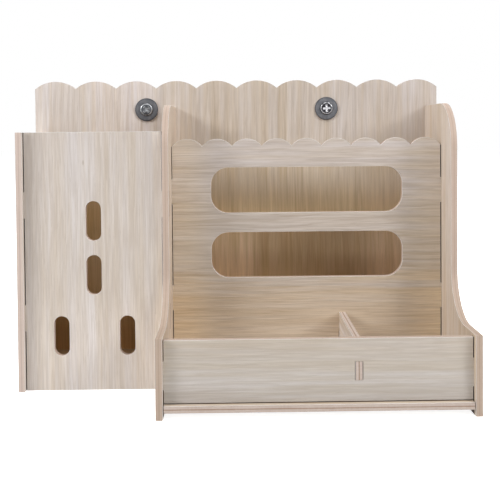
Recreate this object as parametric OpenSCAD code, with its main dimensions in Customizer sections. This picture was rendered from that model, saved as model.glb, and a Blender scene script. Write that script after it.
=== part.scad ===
// Hay and food feeder for rabbits: laser-cut plywood panels plugged together
// with tabs, and two clamp bolts that hang it on the wires of a cage.
// Depths are measured forward from the front face of the back board.

/* [Plywood] */
// Thickness of the sheet that all panels are cut from
ply = 5; // [4:0.5:6]
// Open seam beside the edge of a panel that is held by its tabs
seam = 0.7; // [0.3:0.1:1]
// Length of a tab along its edge
tab_len = 20; // [12:1:22]
// Play on each side of a tab in its mortise
tab_play = 0.1; // [0.05:0.05:0.25]

/* [Back board] */
// Width of the board
board_w = 351; // [330:1:420]
// Height of the board to the tips of its scallops
board_h = 245; // [236:1:290]
// Width of one scallop, as near as the board divides
board_scallop_w = 35; // [25:1:45]
// Rise of a scallop above the notches beside it
board_scallop_rise = 6.5; // [3:0.5:10]
// Board left outside each outer panel
board_margin = 5; // [4:0.5:12]
// Height of the lower tabs that plug into the board
board_tab_low = 50; // [35:1:70]
// Height of the upper tabs that plug into the board
board_tab_high = 160; // [120:1:185]

/* [Bin] */
// Height of the tall bin
bin_h = 201; // [190:1:215]
// Depth of the bin's outer panel
bin_depth = 84; // [78:1:85]
// Clear width inside the bin
bin_w = 107.5; // [95:0.5:125]
// Setback of the bin's front panel
bin_setback = 3.5; // [3:0.5:8]
// Distance from each end of the bin's front panel to the middle of a tab
bin_tab_inset = 56.5; // [45:0.5:75]
// Width of a pill-shaped hole
pill_w = 12; // [8:0.5:15]
// Length of a pill-shaped hole
pill_h = 31; // [20:0.5:36]
// Distance from the top of the bin down to the middle of the first hole
pill_drop = 69; // [50:1:75]
// Distance between the middles of the two upper holes
pill_pitch = 42; // [38:1:46]
// Height of the middle of the two lower holes
pill_low = 42.5; // [38:0.5:48]
// Distance between the middles of the two lower holes
pill_pair = 51; // [35:1:65]

/* [Hay rack] */
// Height of the curved side panels at the board
rack_h = 222; // [215:1:232]
// Depth of the curved side panels above the tray
rack_depth = 85; // [84:1:95]
// Radius of the shoulder at the top of the curved panels
shoulder_r = 34; // [15:1:50]
// Radius of the cove where the curved panels run out to the tray
cove_r = 36; // [15:1:50]
// Depth of the hay panel's front face
hay_depth = 55; // [50:1:65]
// Height of the hay panel to the tips of its scallops
hay_h = 194.5; // [188:0.5:205]
// Width of one scallop of the hay panel, as near as the panel divides
hay_scallop_w = 24; // [18:1:32]
// Rise of a hay panel scallop above the notches beside it
hay_scallop_rise = 6; // [3:0.5:8]
// Width of a long feeding slot
slot_w = 155; // [120:1:165]
// Height of a long feeding slot
slot_h = 37; // [30:0.5:42]
// Corner radius of a long feeding slot
slot_r = 14; // [8:0.5:15]
// Distance from the panel's top down to the middle of the upper slot
slot_drop = 41.5; // [36:0.5:46]
// Distance between the middles of the two slots
slot_pitch = 52.5; // [46:0.5:58]
// Distance from the hay panel's top down to the middle of its upper tabs
hay_tab_drop = 42.5; // [30:0.5:60]
// Distance from the tray floor up to the middle of the hay panel's lower tabs
hay_tab_rise = 56; // [40:1:75]

/* [Tray] */
// Depth of the tray, and of the curved side panels below
tray_depth = 150; // [140:1:170]
// Height of the tray's sides
tray_h = 57; // [50:1:66]
// Height of the tray's front wall
wall_h = 55; // [48:1:64]
// Height of the floors above the ground
floor_z = 5; // [2:0.5:8]
// Setback of the tray's front wall
wall_setback = 4.5; // [2:0.5:8]
// Distance from the tray floor up to the middle of the front wall's tabs
wall_tab_rise = 20; // [14:1:25]
// Distance from the right curved panel to the middle of the divider
divider_inset = 81; // [50:1:110]
// Height of the divider's top above the ground
divider_h = 53; // [40:1:55]
// Height of the divider's tabs
divider_tab_h = 13; // [8:1:16]
// Distance from the tray floor up to the middle of the divider's tabs
divider_tab_rise = 22; // [14:1:26]
// Depth of the middle of the tray floor's rear side tabs
floor_tab_rear = 20; // [15:1:24]
// Depth of the middle of the tray floor's front side tabs
floor_tab_front = 115; // [100:1:120]
// Depth of the middle of the bin floor's side tabs
bin_floor_tab = 50; // [48:1:56]
// Distance between the tray floor's two rear tabs
floor_tab_pitch = 110; // [80:1:140]

/* [Clamps] */
// Distance from the middle panel out to the left bolt; the right bolt mirrors it
bolt_inset = 20.5; // [16:0.5:30]
// Distance from the top of the board down to the bolts
bolt_drop = 25; // [20:1:28]
// Radius of a bolt
bolt_r = 2.5; // [2:0.25:3]
// Length of a bolt under its head
bolt_len = 30; // [28:1:40]
// Radius of a bolt's head
head_r = 5.5; // [4.5:0.25:6.5]
// Height of the straight rim of the head
head_rim = 0.8; // [0.4:0.1:1.2]
// Height of the dome on the head
head_dome = 1.9; // [1.2:0.1:2.5]
// Length of each arm of the cross recess
recess_len = 3; // [2:0.1:3.2]
// Width of each arm of the cross recess
recess_w = 1.1; // [0.8:0.1:1.4]
// Depth of the cross recess
recess_depth = 1.8; // [1:0.1:2.2]
// Outer radius of a washer
washer_r = 10; // [8:0.5:12]
// Thickness of a washer
washer_t = 1.2; // [0.8:0.1:2]
// Play around a bolt in the board and in the washers
hole_play = 0.25; // [0.15:0.05:0.4]
// Opening left behind the board for the wires of the cage
wire_gap = 4; // [3:0.5:6]
// Running play of a wing nut on its bolt
nut_play = 0.05; // [0.02:0.01:0.08]
// Radius of a wing nut's hub at the washer
hub_r = 5.5; // [4.5:0.25:6.5]
// Radius of the hub at its outer end
hub_end_r = 4.4; // [4:0.1:5]
// Height of the hub
hub_h = 6.5; // [5:0.5:8]
// Radius of the round end of a wing
wing_r = 4.2; // [3:0.1:5]
// Thickness of a wing
wing_t = 2; // [1.5:0.1:2.5]
// Distance from the bolt's middle to the tip of a wing
wing_reach = 13; // [11:0.5:16]
// Height of the wings above the washer
wing_h = 13; // [11:0.5:15]
// Height of the wings' lower edge above the washer
wing_foot = 1; // [0.5:0.1:2]

/* [Hidden] */
$fn = 96;
wood_face = [0.82, 0.77, 0.71];
wood_edge = [0.76, 0.68, 0.61];
steel = [0.62, 0.63, 0.65];

// Left faces of the panels that stand from front to back
bin_side_x = -board_w / 2 + board_margin;
middle_side_x = bin_side_x + ply + bin_w;
right_side_x = board_w / 2 - board_margin - ply;
bin_mid_x = bin_side_x + ply + bin_w / 2;
rack_x0 = middle_side_x + ply;
rack_mid_x = (rack_x0 + right_side_x) / 2;
rack_w = right_side_x - rack_x0;
divider_x = right_side_x - divider_inset;

floor_top = floor_z + ply;
bin_front_depth = bin_depth - bin_setback;
wall_depth = tray_depth - wall_setback;
bolt_x = bolt_inset - middle_side_x;
bolt_z = board_h - bolt_drop;
bolt_tail = bolt_len - washer_t;
nut_seat = -ply - wire_gap - washer_t;
// Front face of the board, so that the whole is centred from front to back
board_y = (tray_depth - bolt_tail) / 2;

side_tabs = [board_tab_low, board_tab_high];
bin_tabs = [bin_tab_inset, bin_h - bin_tab_inset];
hay_tabs = [floor_top + hay_tab_rise, hay_h - hay_tab_drop];
wall_tabs = [floor_top + wall_tab_rise];
tray_floor_tabs = [floor_tab_rear, floor_tab_front];
tray_rear_tabs = [rack_mid_x - floor_tab_pitch / 2, rack_mid_x + floor_tab_pitch / 2];
divider_tab_z = floor_top + divider_tab_rise;
slot_top_z = hay_h - slot_drop;

// Rectangle from its low to its high edges
module span(x0, x1, y0, y1) {
    translate([x0, y0]) square([x1 - x0, y1 - y0]);
}

// Stands an outline of width and height up across the feeder
module across(front_depth) {
    translate([0, board_y - front_depth + ply, 0])
        rotate([90, 0, 0])
            linear_extrude(ply) children();
}

// Stands an outline of depth and height up from front to back
module lengthwise(left_x) {
    translate([left_x + ply, board_y, 0])
        rotate([90, 0, -90])
            linear_extrude(ply) children();
}

// Lays an outline of width and depth level on the given height
module level(z) {
    translate([0, board_y, z])
        mirror([0, 1, 0])
            linear_extrude(ply) children();
}

// Tabs that stand out sideways from an upright edge, at each height
module upright_tabs(x0, x1, heights) {
    for (h = heights)
        span(x0, x1, h - tab_len / 2, h + tab_len / 2);
}

// Tabs that stand out along the other axis, at each place
module level_tabs(places, y0, y1) {
    for (p = places)
        span(p - tab_len / 2, p + tab_len / 2, y0, y1);
}

// Mortises for an upright panel whose thickness starts at x0
module upright_mortises(x0, heights) {
    for (h = heights)
        span(x0 - tab_play, x0 + ply + tab_play,
             h - tab_len / 2 - tab_play, h + tab_len / 2 + tab_play);
}

// Mortises for a floor
module floor_mortises(places) {
    for (p = places)
        span(p - tab_len / 2 - tab_play, p + tab_len / 2 + tab_play,
             floor_z - tab_play, floor_top + tab_play);
}

// Row of round scallops that fills a width between two edges
module scallops(x0, x1, top, nominal_w, rise) {
    count = round((x1 - x0) / nominal_w);
    pitch = (x1 - x0) / count;
    radius = (pitch * pitch / 4 + rise * rise) / (2 * rise);
    intersection() {
        span(x0, x1, top - 2 * rise, top);
        for (i = [0 : count - 1])
            translate([x0 + (i + 0.5) * pitch, top - radius]) circle(radius);
    }
}

// Upright hole with round ends
module pill(x, z) {
    straight = pill_h / 2 - pill_w / 2;
    translate([x, z]) {
        span(-pill_w / 2, pill_w / 2, -straight, straight);
        for (s = [-1, 1])
            translate([0, s * straight]) circle(pill_w / 2);
    }
}

// Long hole with rounded corners
module long_slot(x, z) {
    dx = slot_w / 2 - slot_r;
    dz = slot_h / 2 - slot_r;
    translate([x, z]) {
        span(-slot_w / 2, slot_w / 2, -dz, dz);
        span(-dx, dx, -slot_h / 2, slot_h / 2);
        for (sx = [-1, 1], sz = [-1, 1])
            translate([sx * dx, sz * dz]) circle(slot_r);
    }
}

// Outline that both curved side panels share, with the tabs for the board
module curved_outline() {
    difference() {
        union() {
            span(0, tray_depth, 0, tray_h);
            span(0, rack_depth, 0, rack_h - shoulder_r);
            span(0, rack_depth - shoulder_r, 0, rack_h);
            translate([rack_depth - shoulder_r, rack_h - shoulder_r])
                circle(shoulder_r);
            difference() {
                span(rack_depth / 2, rack_depth + cove_r, tray_h / 2, tray_h + cove_r);
                translate([rack_depth + cove_r, tray_h + cove_r]) circle(cove_r);
            }
            upright_tabs(-ply, ply, side_tabs);
        }
        upright_mortises(hay_depth - ply, hay_tabs);
        upright_mortises(wall_depth - ply, wall_tabs);
        floor_mortises(tray_floor_tabs);
    }
}

module back_board() {
    notch_h = board_h - board_scallop_rise;
    color(wood_face)
        across(0)
            difference() {
                union() {
                    span(-board_w / 2, board_w / 2, 0, notch_h);
                    scallops(-board_w / 2, board_w / 2, board_h,
                             board_scallop_w, board_scallop_rise);
                }
                for (x = [bin_side_x, middle_side_x, right_side_x])
                    upright_mortises(x, side_tabs);
                floor_mortises(concat([bin_mid_x], tray_rear_tabs));
                for (s = [-1, 1])
                    translate([s * bolt_x, bolt_z])
                        circle(bolt_r + hole_play);
            }
}

module bin_side_panel() {
    color(wood_edge)
        lengthwise(bin_side_x)
            difference() {
                union() {
                    span(0, bin_depth, 0, bin_h);
                    upright_tabs(-ply, ply, side_tabs);
                }
                upright_mortises(bin_front_depth - ply, bin_tabs);
                floor_mortises([bin_floor_tab]);
            }
}

module middle_side_panel() {
    color(wood_edge)
        lengthwise(middle_side_x)
            difference() {
                curved_outline();
                upright_mortises(bin_front_depth - ply, bin_tabs);
                floor_mortises([bin_floor_tab]);
            }
}

module right_side_panel() {
    color(wood_edge)
        lengthwise(right_side_x)
            curved_outline();
}

module bin_front_panel() {
    color(wood_face)
        across(bin_front_depth)
            difference() {
                union() {
                    span(bin_side_x + ply + seam, middle_side_x - seam, 0, bin_h);
                    upright_tabs(bin_side_x, bin_mid_x, bin_tabs);
                    upright_tabs(bin_mid_x, middle_side_x + ply, bin_tabs);
                }
                pill(bin_mid_x, bin_h - pill_drop);
                pill(bin_mid_x, bin_h - pill_drop - pill_pitch);
                for (s = [-1, 1])
                    pill(bin_mid_x + s * pill_pair / 2, pill_low);
            }
}

module bin_floor() {
    color(wood_face)
        level(floor_z) {
            span(bin_side_x + ply + seam, middle_side_x - seam,
                 0, bin_front_depth - ply - seam);
            span(bin_side_x, middle_side_x + ply,
                 bin_floor_tab - tab_len / 2, bin_floor_tab + tab_len / 2);
            level_tabs([bin_mid_x], -ply, ply);
        }
}

module hay_front_panel() {
    notch_h = hay_h - hay_scallop_rise;
    x0 = rack_x0 + seam;
    x1 = right_side_x - seam;
    color(wood_face)
        across(hay_depth)
            difference() {
                union() {
                    span(x0, x1, floor_top, notch_h);
                    scallops(x0, x1, hay_h, hay_scallop_w, hay_scallop_rise);
                    upright_tabs(middle_side_x, x0 + ply, hay_tabs);
                    upright_tabs(x1 - ply, right_side_x + ply, hay_tabs);
                }
                long_slot(rack_mid_x, slot_top_z);
                long_slot(rack_mid_x, slot_top_z - slot_pitch);
                divider_mortise();
            }
}

module tray_floor() {
    color(wood_face)
        level(floor_z) {
            span(rack_x0 + seam, right_side_x - seam, 0, tray_depth);
            for (d = tray_floor_tabs)
                span(middle_side_x, right_side_x + ply, d - tab_len / 2, d + tab_len / 2);
            level_tabs(tray_rear_tabs, -ply, ply);
        }
}

module tray_front_wall() {
    color(wood_face)
        across(wall_depth)
            difference() {
                union() {
                    span(rack_x0 + seam, right_side_x - seam, floor_top + seam, wall_h);
                    upright_tabs(middle_side_x, rack_mid_x, wall_tabs);
                    upright_tabs(rack_mid_x, right_side_x + ply, wall_tabs);
                }
                divider_mortise();
            }
}

// Mortise that takes either tab of the divider
module divider_mortise() {
    span(divider_x - ply / 2 - tab_play, divider_x + ply / 2 + tab_play,
         divider_tab_z - divider_tab_h / 2 - tab_play,
         divider_tab_z + divider_tab_h / 2 + tab_play);
}

module tray_divider() {
    color(wood_edge)
        lengthwise(divider_x - ply / 2) {
            span(hay_depth, wall_depth - ply, floor_top, divider_h);
            span(hay_depth - ply, wall_depth,
                 divider_tab_z - divider_tab_h / 2, divider_tab_z + divider_tab_h / 2);
        }
}

// Puts a piece on the axis of a clamp bolt, its z running forward from the board's front
module on_bolt_axis(side) {
    translate([side * bolt_x, board_y, bolt_z])
        rotate([90, 0, 0]) children();
}

module bolt(side) {
    dome_r = (head_r * head_r + head_dome * head_dome) / (2 * head_dome);
    rim_top = washer_t + head_rim;
    chamfer = bolt_r / 4;
    color(steel)
        on_bolt_axis(side)
            difference() {
                union() {
                    translate([0, 0, washer_t]) cylinder(h = head_rim, r = head_r);
                    intersection() {
                        translate([0, 0, rim_top + head_dome - dome_r]) sphere(dome_r);
                        translate([0, 0, washer_t + head_rim / 2])
                            cylinder(h = head_dome + head_rim, r = head_r);
                    }
                    translate([0, 0, chamfer - bolt_tail])
                        cylinder(h = bolt_len - chamfer + head_rim / 2, r = bolt_r);
                    translate([0, 0, -bolt_tail])
                        cylinder(h = chamfer, r1 = bolt_r - chamfer, r2 = bolt_r);
                }
                translate([0, 0, rim_top + head_dome - recess_depth])
                    linear_extrude(recess_depth + head_dome) {
                        span(-recess_len, recess_len, -recess_w / 2, recess_w / 2);
                        span(-recess_w / 2, recess_w / 2, -recess_len, recess_len);
                    }
            }
}

// Flat washer whose rear face lies at z on the bolt axis
module washer(side, z) {
    color(steel)
        on_bolt_axis(side)
            translate([0, 0, z])
                difference() {
                    cylinder(h = washer_t, r = washer_r);
                    translate([0, 0, -washer_t])
                        cylinder(h = 3 * washer_t, r = bolt_r + hole_play);
                }
}

// One wing of a wing nut, its outline in reach and height above the washer
module wing() {
    inner = (bolt_r + hub_end_r) / 2;
    cx = wing_reach - wing_r;
    cz = wing_h - wing_r;
    rotate([90, 0, 0])
        translate([0, 0, -wing_t / 2])
            linear_extrude(wing_t) {
                translate([cx, cz]) circle(wing_r);
                polygon([[inner, wing_foot], [hub_r, wing_foot], [wing_reach, cz],
                         [cx - wing_r, cz], [inner, hub_h - wing_foot]]);
            }
}

module wing_nut(side) {
    color(steel)
        on_bolt_axis(side)
            translate([0, 0, nut_seat])
                mirror([0, 0, 1])
                    difference() {
                        union() {
                            cylinder(h = hub_h, r1 = hub_r, r2 = hub_end_r);
                            wing();
                            mirror([1, 0, 0]) wing();
                        }
                        translate([0, 0, -wing_h])
                            cylinder(h = 3 * wing_h, r = bolt_r + nut_play);
                    }
}

module left_bolt() { bolt(-1); }
module right_bolt() { bolt(1); }
module left_front_washer() { washer(-1, 0); }
module right_front_washer() { washer(1, 0); }
module left_rear_washer() { washer(-1, nut_seat); }
module right_rear_washer() { washer(1, nut_seat); }
module left_wing_nut() { wing_nut(-1); }
module right_wing_nut() { wing_nut(1); }

back_board();
bin_side_panel();
middle_side_panel();
right_side_panel();
bin_front_panel();
bin_floor();
hay_front_panel();
tray_floor();
tray_front_wall();
tray_divider();
left_bolt();
right_bolt();
left_front_washer();
right_front_washer();
left_rear_washer();
right_rear_washer();
left_wing_nut();
right_wing_nut();
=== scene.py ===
# Plywood rabbit feeder: cut sheets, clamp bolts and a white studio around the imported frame.
# Lengths in the dictionaries are millimetres unless a note says otherwise.
import math

import bmesh
import bpy
from mathutils import Matrix, Vector


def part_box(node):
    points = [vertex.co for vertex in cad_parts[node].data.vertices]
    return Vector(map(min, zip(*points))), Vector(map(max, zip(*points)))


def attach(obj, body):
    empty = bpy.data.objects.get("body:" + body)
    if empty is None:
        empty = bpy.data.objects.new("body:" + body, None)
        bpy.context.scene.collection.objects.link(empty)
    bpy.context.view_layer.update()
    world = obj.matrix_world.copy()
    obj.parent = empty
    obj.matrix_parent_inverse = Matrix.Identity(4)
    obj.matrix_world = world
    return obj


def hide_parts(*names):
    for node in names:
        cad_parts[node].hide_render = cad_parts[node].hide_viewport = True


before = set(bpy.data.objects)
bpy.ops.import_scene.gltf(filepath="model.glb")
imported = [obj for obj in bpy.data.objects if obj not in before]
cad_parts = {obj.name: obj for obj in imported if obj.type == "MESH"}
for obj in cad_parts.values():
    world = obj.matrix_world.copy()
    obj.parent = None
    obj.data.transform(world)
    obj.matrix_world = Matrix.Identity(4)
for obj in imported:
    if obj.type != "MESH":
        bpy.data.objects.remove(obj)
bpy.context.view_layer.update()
scene = bpy.context.scene
mm = 0.001


# small helpers for node trees and meshes
def addNode(tree, kind, inputs=None, **settings):
    made = tree.nodes.new(kind)
    for name, value in settings.items():
        setattr(made, name, value)
    for name, value in (inputs or {}).items():
        feed(made.inputs[name], value)
    return made


def feed(socket, value):
    # a node stands for its first output
    if isinstance(value, bpy.types.Node):
        value = value.outputs[0]
    if isinstance(value, bpy.types.NodeSocket):
        socket.id_data.links.new(value, socket)
    else:
        socket.default_value = value


def treeOf(*values):
    # the tree of the first node or socket among the values
    return next(value.id_data for value in values if isinstance(value, (bpy.types.Node, bpy.types.NodeSocket)))


def calc(operation, *values, clamp=False):
    made = addNode(treeOf(*values), "ShaderNodeMath", operation=operation, use_clamp=clamp)
    for socket, value in zip(made.inputs, values):
        feed(socket, value)
    return made


def times(first, second):
    return calc("MULTIPLY", first, second)


def minus(first, second):
    return calc("SUBTRACT", first, second)


def vecCalc(operation, *values):
    made = addNode(treeOf(*values), "ShaderNodeVectorMath", operation=operation)
    for socket, value in zip(made.inputs, values):
        feed(socket, value)
    return made.outputs["Value" if operation == "LENGTH" else "Vector"]


def separate(vector):
    return addNode(treeOf(vector), "ShaderNodeSeparateXYZ", {"Vector": vector}).outputs


def combine(x=0.0, y=0.0, z=0.0):
    return addNode(treeOf(x, y, z), "ShaderNodeCombineXYZ", {"X": x, "Y": y, "Z": z})


def addUp(total, shares):
    # total plus each value times its share
    for value, share in shares:
        total = calc("MULTIPLY_ADD", value, share, total)
    return total


def remap(value, low, high, toLow=0.0, toHigh=1.0, smooth=True):
    made = addNode(treeOf(value), "ShaderNodeMapRange", interpolation_type="SMOOTHSTEP" if smooth else "LINEAR")
    for socket, number in zip(made.inputs, (value, low, high, toLow, toHigh)):
        feed(socket, number)
    return made


def blend(factor, first, second, way="MIX"):
    made = addNode(treeOf(factor, first, second), "ShaderNodeMix", data_type="RGBA", blend_type=way)
    for index, value in ((0, factor), (6, first), (7, second)):
        feed(made.inputs[index], value)
    return made.outputs[2]


def greyRamp(value, levels):
    # levels give a grey for each position from 0 to 1
    made = addNode(treeOf(value), "ShaderNodeValToRGB", {"Fac": value})
    stops = made.color_ramp.elements
    for position, level in levels.items():
        stop = {0.0: stops[0], 1.0: stops[-1]}.get(position) or stops.new(position)
        stop.color = (level, level, level, 1)
    return made


def noise(vector, detail=2.0, roughness=0.5):
    return addNode(treeOf(vector), "ShaderNodeTexNoise", {
        "Vector": vector, "Scale": 1.0, "Detail": detail, "Roughness": roughness})


def swing(vector, detail=2.0):
    # noise to both sides of zero
    return minus(noise(vector, detail), 0.5)


def newGroup(name, kind, inputs, outputs, outputType="Float"):
    # an input has a starting number, or the name of its socket type
    group = bpy.data.node_groups.new(name, kind)
    for label, value in inputs.items():
        typed = value if isinstance(value, str) else type(value).__name__.title()
        socket = group.interface.new_socket(label, in_out="INPUT", socket_type="NodeSocket" + typed)
        if typed != value:
            socket.default_value = value
    for label in outputs:
        group.interface.new_socket(label, in_out="OUTPUT", socket_type="NodeSocket" + outputType)
    return group, group.nodes.new("NodeGroupInput").outputs, group.nodes.new("NodeGroupOutput").inputs


def colour(red, green, blue):
    # picture values of 0 to 255 as the linear colour that a shader takes
    def linear(value):
        value /= 255
        return value / 12.92 if value <= 0.04045 else ((value + 0.055) / 1.055) ** 2.4
    return (linear(red), linear(green), linear(blue), 1.0)


def newMaterial(name):
    material = bpy.data.materials.new(name)
    material.use_nodes = True
    return material, material.node_tree


def makeObject(name, mesh):
    made = bpy.data.objects.new(name, mesh)
    scene.collection.objects.link(made)
    return made


def evaluated(thing, name):
    # the plain mesh that an object's modifiers give; the object goes
    bpy.context.view_layer.update()
    mesh = bpy.data.meshes.new_from_object(thing.evaluated_get(bpy.context.evaluated_depsgraph_get()))
    mesh.name = name
    bpy.data.objects.remove(thing)
    return mesh


def shapeMesh(shape, name):
    mesh = bpy.data.meshes.new(name)
    shape.to_mesh(mesh)
    shape.free()
    return mesh


def runTree(name, mesh, tree, values):
    # puts a mesh through a Geometry Nodes tree, its inputs set by the sockets' identifiers
    made = makeObject(name, mesh)
    modifier = made.modifiers.new(tree.name, "NODES")
    modifier.node_group = tree
    for item in tree.interface.items_tree:
        if item.item_type == "SOCKET" and item.in_out == "INPUT" and item.name in values:
            modifier[item.identifier] = values[item.name]
    return evaluated(made, name)


# sizes that the sheets share; the board's front face is at boardFront behind the middle of the frame
sheet = {"ply": 5.0, "play": 0.1, "seam": 0.7, "tab": 20.0, "floorTop": 10.0, "boardFront": 60.6}
seamTab = sheet["ply"] + sheet["seam"]  # the reach of a tab that crosses an open seam
tabHole, plyHole = (sheet[key] + 2 * sheet["play"] for key in ("tab", "ply"))
outlineSteps = {"corner": 14, "scallop": 22, "curve": 40}


# outlines, as the sheets lie on the cutter's bed
def arc(centreX, centreY, radius, fromAngle, toAngle, steps):
    turn = [math.radians(fromAngle + (toAngle - fromAngle) * i / steps) for i in range(steps + 1)]
    return [(centreX + radius * math.cos(a), centreY + radius * math.sin(a)) for a in turn]


def sideWithTabs(start, end, middles=(), length=sheet["tab"], reach=seamTab):
    # one straight side, walked with the sheet on its left, and its square tabs
    start, end = Vector(start), Vector(end)
    along = (end - start).normalized()
    outward = Vector((along.y, -along.x)) * reach
    axis = 0 if abs(along.x) > 0.5 else 1
    points = [start]
    for distance in sorted(abs(middle - start[axis]) for middle in middles):
        near, far = (start + along * (distance + side * length / 2) for side in (-1, 1))
        points += [near, near + outward, far + outward, far]
    return [tuple(point) for point in points]


def roundHole(centreX, centreY, width, height, radius):
    points = []
    for quarter, (sx, sy) in enumerate(((1, 1), (-1, 1), (-1, -1), (1, -1))):
        points += arc(centreX + sx * (width / 2 - radius), centreY + sy * (height / 2 - radius),
                      radius, 90 * quarter, 90 * quarter + 90, outlineSteps["corner"])
    return [p for i, p in enumerate(points) if (Vector(p) - Vector(points[i - 1])).length > 0.001]


def mortise(centreX, centreY, width, height):
    corners = ((-1, -1), (1, -1), (1, 1), (-1, 1))
    return [(centreX + sx * width / 2, centreY + sy * height / 2) for sx, sy in corners]


def wireMesh(name, loops):
    # loops of points, each with whether it closes
    points, edges = [], []
    for loop, closed in loops:
        first = len(points)
        points += [(x, y, 0.0) for x, y in loop]
        edges += [(first + i, first + i + 1) for i in range(len(loop) - 1)]
        if closed:
            edges.append((len(points) - 1, first))
    mesh = bpy.data.meshes.new(name)
    mesh.from_pydata(points, edges, [])
    return mesh


def buildCutSheetTree():
    # closes an outline with a row of scallops, fills it and gives it the sheet's thickness
    tree, given, result = newGroup("cutSheet", "GeometryNodeTree", {
        "Outline": "Geometry", "Thickness": 5.0, "Scallops": 0, "Rise": 6.0, "Left": 0.0, "Right": 1.0,
        "Top": 1.0, "Steps": 22, "Weld": 0.01, "Finish": "Material"}, ["Sheet"], "Geometry")
    pitch = calc("DIVIDE", minus(given["Right"], given["Left"]), given["Scallops"])
    squares = calc("ADD", calc("POWER", times(pitch, 0.5), 2.0), calc("POWER", given["Rise"], 2.0))
    radius = calc("DIVIDE", squares, times(given["Rise"], 2.0))
    place = calc("DIVIDE", addNode(tree, "GeometryNodeInputIndex"), given["Steps"])
    # a hair is added, so that a notch always counts as the start of the next scallop
    within = calc("FRACT", calc("ADD", place, 0.0001))
    across = times(minus(within, 0.5), pitch)
    height = calc("SQRT", minus(calc("POWER", radius, 2.0), calc("POWER", across, 2.0)))
    spot = combine(calc("MULTIPLY_ADD", place, pitch, given["Left"]), calc("ADD", minus(given["Top"], radius), height))
    count = calc("MULTIPLY_ADD", given["Scallops"], given["Steps"], 1.0)
    line = addNode(tree, "GeometryNodeMeshLine", {"Count": count})
    row = addNode(tree, "GeometryNodeSetPosition", {"Geometry": line, "Position": spot})
    some = addNode(tree, "FunctionNodeCompare", {"A": given["Scallops"], "B": 0},
                   data_type="INT", operation="GREATER_THAN")
    top = addNode(tree, "GeometryNodeSwitch", {"Switch": some, "True": row}, input_type="GEOMETRY")
    wire = addNode(tree, "GeometryNodeJoinGeometry")
    for part in (top, given["Outline"]):
        feed(wire.inputs[0], part)
    closed = addNode(tree, "GeometryNodeMergeByDistance", {"Geometry": wire, "Distance": given["Weld"]})
    curve = addNode(tree, "GeometryNodeMeshToCurve", {"Mesh": closed})
    filled = addNode(tree, "GeometryNodeFillCurve", {"Curve": curve})
    raised = addNode(tree, "GeometryNodeExtrudeMesh", {
        "Mesh": filled, "Offset Scale": given["Thickness"], "Individual": False})
    under = addNode(tree, "GeometryNodeFlipFaces", {"Mesh": filled})
    both = addNode(tree, "GeometryNodeJoinGeometry")
    for part in (under, raised):
        feed(both.inputs[0], part)
    solid = addNode(tree, "GeometryNodeMergeByDistance", {"Geometry": both, "Distance": given["Weld"]})
    finishTree(tree, solid, given["Finish"], result[0])
    return tree


def finishTree(tree, geometry, finish, result):
    real = addNode(tree, "GeometryNodeRealizeInstances", {"Geometry": geometry})
    dressed = addNode(tree, "GeometryNodeSetMaterial", {"Geometry": real, "Material": finish})
    feed(result, dressed)


# veneer: each layer of noise has its scale per metre along and across the grain, its detail and
# roughness, and the range of it that becomes 0 to 1
veneer = {
    "layers": {
        "bands": (1.6, 62.0, 2.0, 0.5, 0.28, 0.72), "ringBreaks": (5.0, 60.0, 1.0, 0.5, 0.35, 0.68),
        "patches": (4.0, 34.0, 2.0, 0.5, 0.36, 0.62), "streaks": (9.0, 300.0, 3.0, 0.6, 0.39, 0.61),
        "lines": (26.0, 700.0, 2.0, 0.6, 0.36, 0.66), "fibres": (60.0, 2300.0, 2.0, 0.6, 0.3, 0.7),
        "pores": (110.0, 2100.0, 1.0, 0.5, 0.64, 0.72),
        "broadTint": (2.1, 48.0, 2.0, 0.5, 0.36, 0.64), "narrowTint": (6.0, 150.0, 2.0, 0.5, 0.39, 0.61)},
    "rings": {0.0: 0.05, 0.5: 0.15, 0.84: 0.8, 0.93: 1.0, 1.0: 0.05},  # pale early wood, then a dark line
    "longLines": (7.0, 210.0, 0.065), "shortLines": (16.0, 460.0, 0.09), "shortShare": 0.8,
    "driftScale": (10.0, 24.0), "wanderScale": (7.0, 26.0), "wander": 0.014,
    "tone": {"bands": 0.07, "streaks": 0.02}, "toneStart": 0.055, "thinShare": 0.31,
    "fine": {"lines": 0.33, "fibres": 0.15, "pores": 0.28},
    "tint": {"streaks": 0.3, "broadTint": 0.35, "narrowTint": 0.35},
}


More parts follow.
